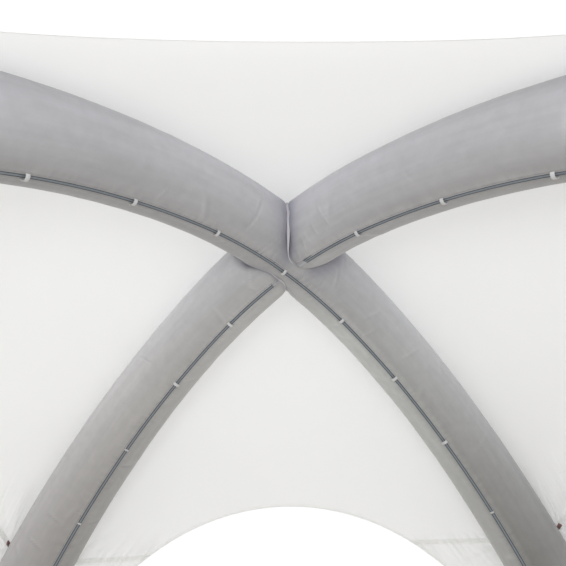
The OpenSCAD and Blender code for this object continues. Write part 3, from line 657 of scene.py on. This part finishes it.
def seam_piping():
    """The padded fold over the near seam, from the ridge down to the half beam's tip, where it runs out."""
    phi = np.radians(np.linspace(-128, 2, 120))
    t = np.linspace(0, 1, len(phi))
    wave = 0.0022 * noise(t * 9, 4, 15) - 0.004 * groove(t - 0.36, 0.04)
    path, _ = seam_path(phi, 1, TIP_NEAR, 0.002 + wave, 0.0045 + 0.006 * smooth((t - 0.78) / 0.2))
    normals = unit(points(0, np.sin(phi) / math.sqrt(2), -np.cos(phi)))
    slim = 0.26 + 0.74 * smooth((0.84 - t) / 0.26)
    half_w = (0.0074 + 0.0014 * noise(t * 14, 0, 16)) * slim
    cord("seam_piping_near", path, normals, half_w, 0.0070 * slim, M_PIPING, "mitre_seam_near")


def seam_roll():
    """The thin rolled edge where the far half beam is sewn to beam A."""
    phi = np.radians(np.linspace(-118, 118, 150))
    t = np.linspace(0, 1, len(phi))
    path, normals = seam_path(phi, -1, TIP_FAR, -0.0015, 0.0105)
    slim = 0.42 + 0.58 * smooth((t - 0.44) / 0.06)
    half_w = (0.0036 + 0.0007 * noise(t * 30, 0, 18)) * slim
    cord("seam_roll_far", path, normals, half_w, 0.0034 * slim, M_PIPING, "mitre_seam_far")


def window_bindings():
    """A rolled binding round each valve window."""
    turn = np.linspace(0, FULL_TURN, 73)
    for leg, arch, sign, middle in VALVE_PLACES:
        for kind, (degrees, radius) in zip(("valve", "relief"), WINDOWS):
            s = sign * leg_s(degrees) + (radius + 0.0015) * np.cos(turn)
            phi = middle + (radius + 0.0015) * np.sin(turn) / BEAM_R
            bulge = 0.0003 * noise(turn * 9, 0, 51)
            cord(f"{kind}_window_binding_{leg}", turned(on_beam(s, phi, BEAM_R + 0.0008), arch),
                 off_beam(s, phi, arch), 0.0042 + bulge, 0.0018 + bulge, M_TRIM)


seam_piping()
seam_roll()
window_bindings()


# ---- zips
def outline(half, top=(), bottom=()):
    """A closed section from one side's points, outer first, and its middle's heights, in mm off the beam."""
    edge = [(-d, h) for d, h in half] + [(0, h) for h in top]
    edge += [(d, h) for d, h in half[::-1]] + [(0, h) for h in bottom]
    return np.array(edge) * MM + (0, BEAM_R)


def strip(name, arch, s, section, mat, *replaced, middle=ZIP_PHI, wave=0.0):
    """A strip along a beam. section holds (distance from its middle, radius)."""
    ss, d = np.meshgrid(s, section[:, 0], indexing="ij")
    r = section[None, :, 1] + wave * noise(ss / 0.02, 2, 5)
    p = turned(on_beam(ss, middle + d / BEAM_R, r), arch)
    return piece(name, [(p, points(ss, d), s[-1] < s[0])], mat, *replaced, wrap=True, caps=True)


TAPE = outline(((17, 0.3), (17, 1.5), (6, 1.5)))
# Two rounded rows of teeth beside each other
COIL = outline(((4.4, 1.5), (4.3, 2.7), (3.2, 3.7), (1.2, 3.6), (0.3, 2.4)))
# The end of a tape, without teeth, that tucks under the seam
TAIL = outline(((4.8, 2.5), (4.8, 3.7)), top=(4.1,))
RIDGE = outline(((18, 8.6), (17, 9.4), (14, 9.1)), top=(9.4,), bottom=(8.2,))
ZIP_STEP = 0.015
for part, arch, start, end in (("a", ARCH_A, -ZIP_END, ZIP_END), ("b_near", ARCH_B, ZIP_START, ZIP_END),
                               ("b_far", ARCH_B, -ZIP_START, -ZIP_END)):
    strip(f"zip_weave_{part}", arch, along(start, end, ZIP_STEP), TAPE, M_TAPE, f"zip_tape_{part}")
    strip(f"zip_teeth_{part}", arch, along(start, end, ZIP_STEP), COIL, M_COIL, f"zip_coil_{part}")
for part, sign, tip in (("near", 1, TIP_NEAR), ("far", -1, TIP_FAR)):
    s = along(sign * (tip + 0.022), sign * (ZIP_START + 0.006), 0.008)
    strip(f"zip_tail_b_{part}", ARCH_B, s, TAIL, M_TAIL)


# ---- webbing loops
def loop_path(low):
    """A loop's middle line: (distance across the zip, height above the beam). low is 0 where it stands up."""
    t = math.pi * np.arange(15) / 14
    reach, stand = LOOP_R * (1 - 0.45 * low), LOOP_R * (1 - 0.60 * low)
    return points(-reach * np.cos(t), 0.0034 + (stand - 0.0034) * np.sin(t))


def loops(name, arch, places, replaced, upright):
    """Loops stand up as far as upright from the crown, and lie lower, flatter and narrower further down the
    legs.
    """
    grids = []
    for at in places:
        low = float(smooth(np.array((abs(at) - upright) / 0.5)))
        path, width = loop_path(low), LOOP_W * (1 - 0.50 * low)
        side = np.array([-1, 1, 1, -1]) * width / 2
        layer = np.array([1, 1, -1, -1])[None, :, None] * LOOP_T / 2
        q = path[:, None] + flat_normals(path)[:, None] * layer
        p = turned(on_beam(at + side, ZIP_PHI + q[..., 0] / BEAM_R, BEAM_R + q[..., 1]), arch)
        grids.append((p, points(side + width / 2, run_along(path)[:, None]), False))
    obj = piece(name, grids, M_LOOP, replaced, wrap=True, caps=True)
    edge = obj.modifiers.new("edge", "BEVEL")
    edge.width, edge.segments, edge.limit_method = LOOP_T * 0.3, 2, "ANGLE"


steps = [i * LOOP_PITCH for i in range(-LOOPS_PER_LEG, LOOPS_PER_LEG + 1)]
loops("webbing_loops_a", ARCH_A, [s - LOOP_SHIFT for s in steps], "loops_a", 1.55)
loops("webbing_loops_b_near", ARCH_B, [s for s in steps if s > 0], "loops_b_near", 2.0)
loops("webbing_loops_b_far", ARCH_B, [s for s in steps if s < 0], "loops_b_far", 1.1)

# ---- canopy
SPAN_COLUMNS, WRAP_COLUMNS, EDGE_COLUMNS = ((96, 8, 40))
ROW_FINE, ROW_COARSE = ((0.005, 0.022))


def half_width(s):
    return centreline(s)[0] / math.sqrt(2)


def span_point(s, u, r):
    """A point of a panel between the legs: u is -1 at one ridge and 1 at the other."""
    x, z, a = centreline(s)
    q = np.sqrt(1 + np.sin(a) ** 2)
    lift = r - PANEL_SAG * np.minimum(1, s / OPENING_TOP) * (1 - u * u)
    half = x / math.sqrt(2)
    return points(u * half, half + lift * math.sqrt(2) * np.sin(a) / q, z + lift * np.cos(a) / q)


def wrap_point(s, k, f, r):
    """A point of a panel where it bends round the sleeve to the ridge: f is 1 where the span begins."""
    x, z, a = centreline(s)
    edge = 0.001 / r
    phi = edge + f * (np.arctan(np.sin(a)) - edge)
    half = x / math.sqrt(2)
    out = np.cos(phi) * np.sin(a) / math.sqrt(2)
    across = np.sin(phi) / math.sqrt(2)
    high = z + r * np.cos(phi) * np.cos(a)
    return points(k * (half + r * (out - across)), half + r * (out + across), high)


def opening_x(h, n):
    return OPENING_HALF * (1 - np.clip(1 - h / OPENING_H, 0, 1) ** n) ** (1 / n)


def opening_depth(x, n):
    return OPENING_H * (1 - np.clip(1 - np.minimum(1, np.abs(x) / OPENING_HALF) ** n, 0, 1) ** (1 / n))


BAND_LEG_X = float(half_width(np.array(BAND_AT))) - 0.01
BAND_EDGE_X = {side: float(opening_x(BAND_AT - OPENING_TOP, n)) for side, _, n in SIDES}
SEEDS = {"near": 101, "right": 121, "far": 141, "left": 161}
FOLD_TURN = math.atan(0.75)
PANEL_FOLD_SCALE = 0.013
# How far the folds beside a band reach above and below it
FOLD_REACH = {("far", -1): (0.10, 0.05), ("left", 1): (0.20, 0.10), ("right", -1): (0.20, 0.10)}
TIE_LEN, TIE_W = 0.030, 0.022
# From a band's leg end to its tie's middle
TIE_OUT = {"left": 0.042, "right": 0.070, "near": 0.026, "far": 0.026}


def graded(length, reach):
    """Distances from 0 to length, fine up to reach and wider beyond it."""
    steps = [0.0]
    while steps[-1] < length:
        steps.append(steps[-1] + min(ROW_COARSE, ROW_FINE + 0.12 * max(0.0, steps[-1] - reach)))
    return np.array(steps) * (length / steps[-1])


def panel_points(s, kind, value, r):
    """kind 0 is a span column at u, and kinds -1 and 1 are wrap columns at f."""
    flat = span_point(s, np.where(kind == 0, value, 0), r)
    bent = wrap_point(s, np.where(kind == 0, 1, kind), np.where(kind == 0, 0, value), r)
    return np.where((kind == 0)[..., None], flat, bent)


def panel_grids(n):
    """(s, kind, value) of the top part, and of the two lower parts, which share its last row's columns."""
    band_x = float(opening_x(BAND_AT - OPENING_TOP, n))
    band_u = band_x / float(half_width(np.array(BAND_AT)))
    wrap = [i / WRAP_COLUMNS for i in range(WRAP_COLUMNS + 1)]
    out = [band_u + (1 - band_u) * i / SPAN_COLUMNS for i in range(1, SPAN_COLUMNS)]
    edge_x = band_x * np.sin(np.pi / 2 * np.linspace(-1, 1, 2 * EDGE_COLUMNS + 1))
    edge_s = OPENING_TOP + opening_depth(edge_x, n)
    cols = [(-1, f, BAND_AT) for f in wrap] + [(0, -u, BAND_AT) for u in out[::-1]]
    cols += [(0, u, s) for u, s in zip(edge_x / half_width(edge_s), edge_s)]
    cols += [(0, u, BAND_AT) for u in out] + [(1, f, BAND_AT) for f in wrap[::-1]]
    kind, value, end = np.array(cols).T[:, None]
    w = 1 - graded(1.0, 0.14)[::-1, None]
    top = (CANOPY_START + (end - CANOPY_START) * w, kind, value)
    lows = []
    for k in (-1, 1):
        s = BAND_AT + graded(CANOPY_END - BAND_AT, 0.30)[:, None]
        ue = opening_x(s - OPENING_TOP, n) / half_width(s)
        spans = k * (ue + (1 - ue) * np.linspace(0, 1, SPAN_COLUMNS + 1)[None, :-1])
        wraps = np.broadcast_to(np.array(wrap[::-1])[None, :], (len(s), len(wrap)))
        value = np.concatenate([spans, wraps], 1)
        kind = np.concatenate([0 * spans, np.full_like(wraps, k)], 1)
        lows.append((s, kind, value))
    return top, lows


def band_at(side, k, out):
    """Where a band runs along the ridge, at distance out from the panel's middle."""
    leg, opening = BAND_SHIFT.get((side, k), (0.0, 0.0))
    share = np.clip((out - BAND_EDGE_X[side]) / (BAND_LEG_X - BAND_EDGE_X[side]), 0, 1)
    return BAND_AT + opening + (leg - opening) * share


def panel_relief(s, kind, value, side):
    """Heights of a panel's sag and of its wrinkles: folds beside the bands, and fans that leave each tie."""
    half, seed = half_width(s), SEEDS[side]
    fold_share, fan_share = (1.0, 0.35) if side in ("near", "far") else (0.6, 0.75)
    x = np.where(kind == 0, value * half, np.where(kind < 0, -half, half))
    soft = 0.0012 * noise(s / 0.5, x / 0.5, seed)
    fine = np.zeros_like(x)
    for k in (-1, 1):
        out = x * k
        ds = s - band_at(side, k, out)
        # Folds that run beside the band like the edge of the opening does
        across = out * math.cos(FOLD_TURN) - ds * math.sin(FOLD_TURN)
        run = out * math.sin(FOLD_TURN) + ds * math.cos(FOLD_TURN)
        bent = across / 0.016 + 0.5 * noise(run / 0.08, across / 0.07, seed + 5)
        fold = noise(bent, run / 0.16, seed + 7 + k)
        broad = noise(across / 0.034, run / 0.20, seed + 17 + k)
        above, below = FOLD_REACH.get((side, k), (0.05, 0.14))
        low = np.where(ds > 0, groove(ds, below), groove(ds, above))
        reach = smooth((out - BAND_EDGE_X[side] + 0.12) / 0.06) * smooth((BAND_LEG_X + 0.02 - out) / 0.05)
        fine += (0.0042 * fold + 0.0010 * broad) * low * reach * fold_share
        # The fan round the tie
        dx = BAND_LEG_X - out
        rho, ang = np.hypot(dx, ds), np.arctan2(ds, dx)
        strength = groove(rho - 0.17, 0.20) * smooth(rho / 0.05) * fan_share
        fine += 0.0060 * noise(ang / 0.11, rho / 0.40, seed + 3 + k) * strength
    edge = np.where(kind == 0, smooth((1 - np.abs(value)) * half / 0.02), 0)
    return soft * edge, fine * edge


def panel(side, turn, n):
    top, lows = panel_grids(n)
    grids, folds = [], []
    for flip, (s, kind, value) in ((False, top), (True, lows[0]), (False, lows[1])):
        soft, fine = panel_relief(s, kind, value, side)
        half = half_width(s)
        x = np.where(kind == 0, value * half, np.sign(kind) * (half + (1 - value) * BEAM_R * 0.6))
        p = turned(panel_points(s, kind, value, CANOPY_R + soft + fine), turn)
        grids.append((p, points(x, s), flip))
        # Wrinkle depth kept for the canopy's painted light and shade
        folds.append(fine.ravel() / PANEL_FOLD_SCALE)
    obj = piece(f"cloth_{side}", grids, M_CANOPY, f"canopy_{side}", f"wings_{side}")
    shaded(obj, np.concatenate(folds))
    obj.modifiers.new("join", "WELD").merge_threshold = 0.0004
    return obj


# The hem's section, as (distance back from the edge, height from the panel towards the inside)
HEM = ((0.0010, 0.0005), (-0.0006, 0.0004), (-0.0009, -0.0002), (-0.0005, -0.0008), (0.002, -0.0010),
       (0.0105, -0.0009), (0.0120, -0.0011), (0.0135, -0.0009), (0.0145, -0.0003))


def folded_edge(side, turn, n):
    """The hem: the cloth's edge turned in twice and sewn."""
    t = np.linspace(-math.pi / 2, math.pi / 2, 161)
    section = np.array(HEM)
    tt, back = np.meshgrid(t, section[:, 0], indexing="ij")
    a = np.abs(tt)
    x = OPENING_HALF * np.sin(a) ** (2 / n)
    s = OPENING_TOP + OPENING_H * (1 - np.cos(a) ** (2 / n)) - back * np.cos(a) ** (2 - 2 / n)
    u = np.sign(tt) * (x + back * np.sin(a) ** (2 - 2 / n)) / half_width(s)
    p = span_point(s, u, CANOPY_R + sum(panel_relief(s, 0, u, side)) + section[None, :, 1])
    uv = points(run_along(p[:, 0])[:, None], back)
    return piece(f"edge_{side}", [(turned(p, turn), uv, False)], M_BINDING, f"hem_{side}")


panels, hems = {}, {}
for side, turn, n in SIDES:
    panels[side] = panel(side, turn, n)
    hems[side] = folded_edge(side, turn, n)


def band_strips(name, ends, width, under, mat, *replaced):
    """Strips under the cloth along the bands. ends gives their ends, as distances from the panel's middle."""
    grids = []
    w = np.linspace(-0.5, 0.5, 7)[:, None]
    for side, turn, n in SIDES:
        for k in (-1, 1):
            start, end = ends(side, k, n, w)
            x = start + (end - start) * np.linspace(0, 1, 90)[None, :] + 0 * w
            s = band_at(side, k, x) + width * w
            u = x / half_width(s)
            deep = under + 0.0014 * noise(x / 0.009, s / 0.02, SEEDS[side] + 30) + 0.0012 * (1 - (2 * w) ** 4)
            r = CANOPY_R + sum(panel_relief(s, 0, k * u, side)) - deep
            grids.append((turned(span_point(s, k * u, r), turn), points(x, s), k < 0))
    return piece(name, grids, mat, *replaced)


def band_ends(side, k, n, w):
    middle = BAND_AT + BAND_SHIFT.get((side, k), (0.0, 0.0))[1]
    return opening_x(middle + BAND_W * w - OPENING_TOP, n) + 0.004, BAND_LEG_X + 0.005


def tie_ends(side, *_):
    """A tie covers the band's end beside the leg."""
    middle = BAND_LEG_X - TIE_OUT[side]
    return middle - TIE_LEN, middle + TIE_LEN


band_piece = band_strips("webbing_bands", band_ends, BAND_W, 0.0018, M_BAND, "corner_bands")
tie_piece = band_strips("band_ties", tie_ends, TIE_W, 0.0036, M_TIE)

# ---- tapes, patch and straps on the outside
tapes = []
for leg, (arch, sign) in LEGS.items():
    s = along(sign * RIDGE_START, sign * RIDGE_END, 0.02)
    tapes.append(strip(f"ridge_tape_{leg}", arch, s, RIDGE * (-1, 1), M_BINDING, middle=math.pi, wave=0.0003))
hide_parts("ridge_tapes")


def crown_drop(r):
    """How much lower the canopy is at r from the crown."""
    return r ** 2 / (2 * (CROWN_R + CANOPY_R))


def crown_patch():
    """A round reinforcement over the crown, with its edge turned under."""
    turn = np.linspace(0, FULL_TURN, 97)[:-1]
    rim = [PATCH_R - 0.001, PATCH_R, PATCH_R - 0.0008]
    r = np.concatenate([[0.0005], np.linspace(0.006, PATCH_R - 0.003, 28), rim])
    rr, tt = np.meshgrid(r, turn, indexing="ij")
    high = PATCH_HIGH + 0.0005 * noise(tt / 0.09, rr / 0.03, 71) * smooth(rr / 0.05) - crown_drop(rr)
    high -= 0.0006 * groove(rr - (PATCH_R - 0.008), 0.0025) + 0.0018 * smooth((rr - PATCH_R + 0.002) / 0.002)
    high[-1] -= 0.0012
    p = points(rr * np.cos(tt), rr * np.sin(tt), APEX_Z + CANOPY_R + high)
    return piece("crown_cloth", [(p, p[..., :2], False)], M_BINDING, "crown_patch", wrap=True)


# A dash of thread, as (share of its length, share of its thickness, height above the cloth)
DASH = ((-0.05, 0.3, 0.0), (0.2, 1.0, 0.0002), (0.8, 1.0, 0.0002), (1.05, 0.3, 0.0))


def dashes(name, runs):
    """Rows of thread. Each run is (points on the cloth, directions out of it), and every other gap is sewn."""
    grids = []
    turn = np.linspace(0, FULL_TURN, 7)[:-1]
    for at, out in runs:
        for i in range(0, len(at) - 1, 2):
            d = at[i + 1] - at[i]
            ring = np.cos(turn)[:, None] * np.cross(unit(d), out[i]) + np.sin(turn)[:, None] * out[i]
            p = [at[i] + d * t + out[i] * up + ring * THREAD_R * size for t, size, up in DASH]
            uv = [points(turn * THREAD_R, t * np.linalg.norm(d)) for t, _, _ in DASH]
            grids.append((np.array(p), np.array(uv), False))
    return piece(name, grids, M_THREAD, wrap=True)


def patch_thread():
    """Two rings of stitches near the patch's edge."""
    runs = []
    for r in (PATCH_R - 0.006, PATCH_R - 0.010):
        t = np.linspace(0, FULL_TURN, 2 * int(math.pi * r / 0.004) + 1)
        z = APEX_Z + CANOPY_R + PATCH_HIGH - crown_drop(r) + 0.0003
        runs.append((points(r * np.cos(t), r * np.sin(t), z), np.tile([0.0, 0.0, 1.0], (len(t), 1))))
    return dashes("crown_thread", runs)


def strap_point(leg, x, y, high):
    """A point on a strap: x down the leg from the ring's bar, y across it and high above the ridge tape."""
    arch, sign = LEGS[leg]
    r = STRAP_R + high
    return turned(on_beam(sign * (leg_s(STRAP_ANGLE) + x), math.pi + y / r, r), arch)


# The strap's section round its edge, as shares of half its width and half its thickness
STRAP_EDGE = ((-1, 1), (-0.96, 1.15), (0.96, 1.15), (1, 1), (1, -1), (0.96, -1.15), (-0.96, -1.15), (-1, -1))


def straps():
    """Webbing straps: each runs flat down the leg, round the ring's bar and back on itself."""
    t = np.radians(np.linspace(-90, 205, 26))
    path = [(x, 0.0013) for x in np.linspace(-0.070, -0.003, 14)]
    path += [(0.0037 * math.cos(a), 0.0050 + 0.0037 * math.sin(a)) for a in t]
    path += [(-0.0065, 0.0032), (-0.0105, 0.0025)] + [(x, 0.0023) for x in np.linspace(-0.016, -0.067, 12)]
    path = np.array(path)
    normal, run = flat_normals(path), run_along(path)
    uv = points(run[:, None], np.sign([side for side, _ in STRAP_EDGE]) * STRAP_W / 2)
    grids = []
    for leg, (_, sign) in LEGS.items():
        ring = []
        for side, layer in STRAP_EDGE:
            q = path + normal * layer * STRAP_T / 2
            ring.append(strap_point(leg, q[:, 0], side * STRAP_W / 2 + 0 * run, q[:, 1]))
        grids.append((np.stack(ring[::sign], axis=1), uv, False))
    piece("webbing_straps", grids, M_STRAP, "anchor_straps", wrap=True, caps=True)


def strap_thread():
    """The box and cross that sew each strap down."""
    x0, x1, y = -0.062, -0.018, STRAP_W / 2 - 0.003
    corners = [(x0, -y), (x1, -y), (x1, y), (x0, y), (x0, -y), (x1, y), (x1, -y), (x0, y)]
    runs = []
    for leg in LEGS:
        for (ax, ay), (bx, by) in zip(corners[:-1], corners[1:]):
            count = 2 * int(math.hypot(bx - ax, by - ay) / 0.0045) + 1
            x, across = np.linspace(ax, bx, count), np.linspace(ay, by, count)
            at = strap_point(leg, x, across, 0.0023 + STRAP_T * 0.55)
            runs.append((at, unit(strap_point(leg, x, across, 1.0) - at)))
    dashes("strap_thread", runs)


sewn_on = tapes + [crown_patch(), patch_thread(), band_piece, tie_piece]
straps()
strap_thread()

# ---- remaining CAD nodes
CAD_LOOKS = {"foot_pads": M_RUBBER, "peg_grommets": M_BRASS, "relief_bodies": M_VALVE}
for leg in LEGS:
    CAD_LOOKS.update({f"slider_{leg}": M_SLIDER, f"pull_{leg}": M_SLIDER, f"ring_{leg}": M_STEEL})
for part, *_ in VALVE_PLACES:
    CAD_LOOKS.update({f"valve_body_{part}": M_VALVE, f"valve_cap_{part}": M_VALVE,
                      f"valve_poppet_{part}": M_RED, f"relief_poppet_{part}": M_GREY})
for name, mat in CAD_LOOKS.items():
    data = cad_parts[name].data
    data.materials.clear()
    data.materials.append(mat)

# ---- stage, light and camera
scene = bpy.context.scene
FLOOR_HALF = 40
x, y = np.meshgrid((-FLOOR_HALF, FLOOR_HALF), (-FLOOR_HALF, FLOOR_HALF))
flat = mesh("floor", [(points(x, y, 0), points(x, y), False)])
flat.materials.append(solid("floor_paint", (0.66, 0.645, 0.62), 0.8, grain=0.02, depth=0.0001, variation=0.01))
floor = bpy.data.objects.new("floor", flat)
scene.collection.objects.link(floor)

scene.view_settings.view_transform = "Standard"
world = bpy.data.worlds.new("studio")
scene.world = world
world.use_nodes = True
wt = world.node_tree
WHITE = (1.0, 1.0, 1.0, 1)
lighting, backdrop = (node(wt, "Background", Color=WHITE, Strength=strength) for strength in (1.0, 1.05))
seen = node(wt, "LightPath").outputs["Is Camera Ray"]
pick = node(wt, "MixShader", seen, lighting.outputs[0], backdrop.outputs[0])
wt.links.new(pick.outputs[0], wt.nodes["World Output"].inputs["Surface"])


def lamp(name, kind, energy, colour, at, towards, **settings):
    light = bpy.data.lights.new(name, kind)
    light.energy, light.color = energy, colour
    for key, value in settings.items():
        setattr(light, key, value)
    obj = bpy.data.objects.new(name, light)
    obj.location = at
    obj.rotation_mode = "QUATERNION"
    obj.rotation_quaternion = (Vector(towards) - obj.location).to_track_quat("-Z", "Y")
    scene.collection.objects.link(obj)
    return obj


lamp("key", "SUN", 0.9, (0.97, 0.98, 1.0), (0, 0, 0), (0.45, 0.70, -1.0), angle=math.radians(60))
# A soft box low in front of the near opening, where the daylight comes in
soft_box = lamp("soft_box", "AREA", 48, (0.93, 0.95, 1.0), (-0.5, -3.3, 0.9), (0, 0, 2.6), shape="RECTANGLE",
                size=2.6, size_y=1.4)
soft_box.visible_camera = False

CAMERA_AT = Vector((-0.0973, -2.0854, 0.6112))
YAW, PITCH, ROLL = 0.034396, 0.796049, -0.034292
forward = Vector((math.sin(YAW) * math.cos(PITCH), math.cos(YAW) * math.cos(PITCH), math.sin(PITCH)))
level = Vector((math.cos(YAW), -math.sin(YAW), 0))
lift = level.cross(forward)
right = math.cos(ROLL) * level + math.sin(ROLL) * lift
up = math.cos(ROLL) * lift - math.sin(ROLL) * level
lens = bpy.data.cameras.new("camera")
lens.lens, lens.sensor_width = 37.909, 36
lens.clip_start, lens.clip_end = 0.05, 200
camera = bpy.data.objects.new("camera", lens)
camera.matrix_world = Matrix.Translation(CAMERA_AT) @ Matrix((right, up, -forward)).transposed().to_4x4()
scene.collection.objects.link(camera)
scene.camera = camera
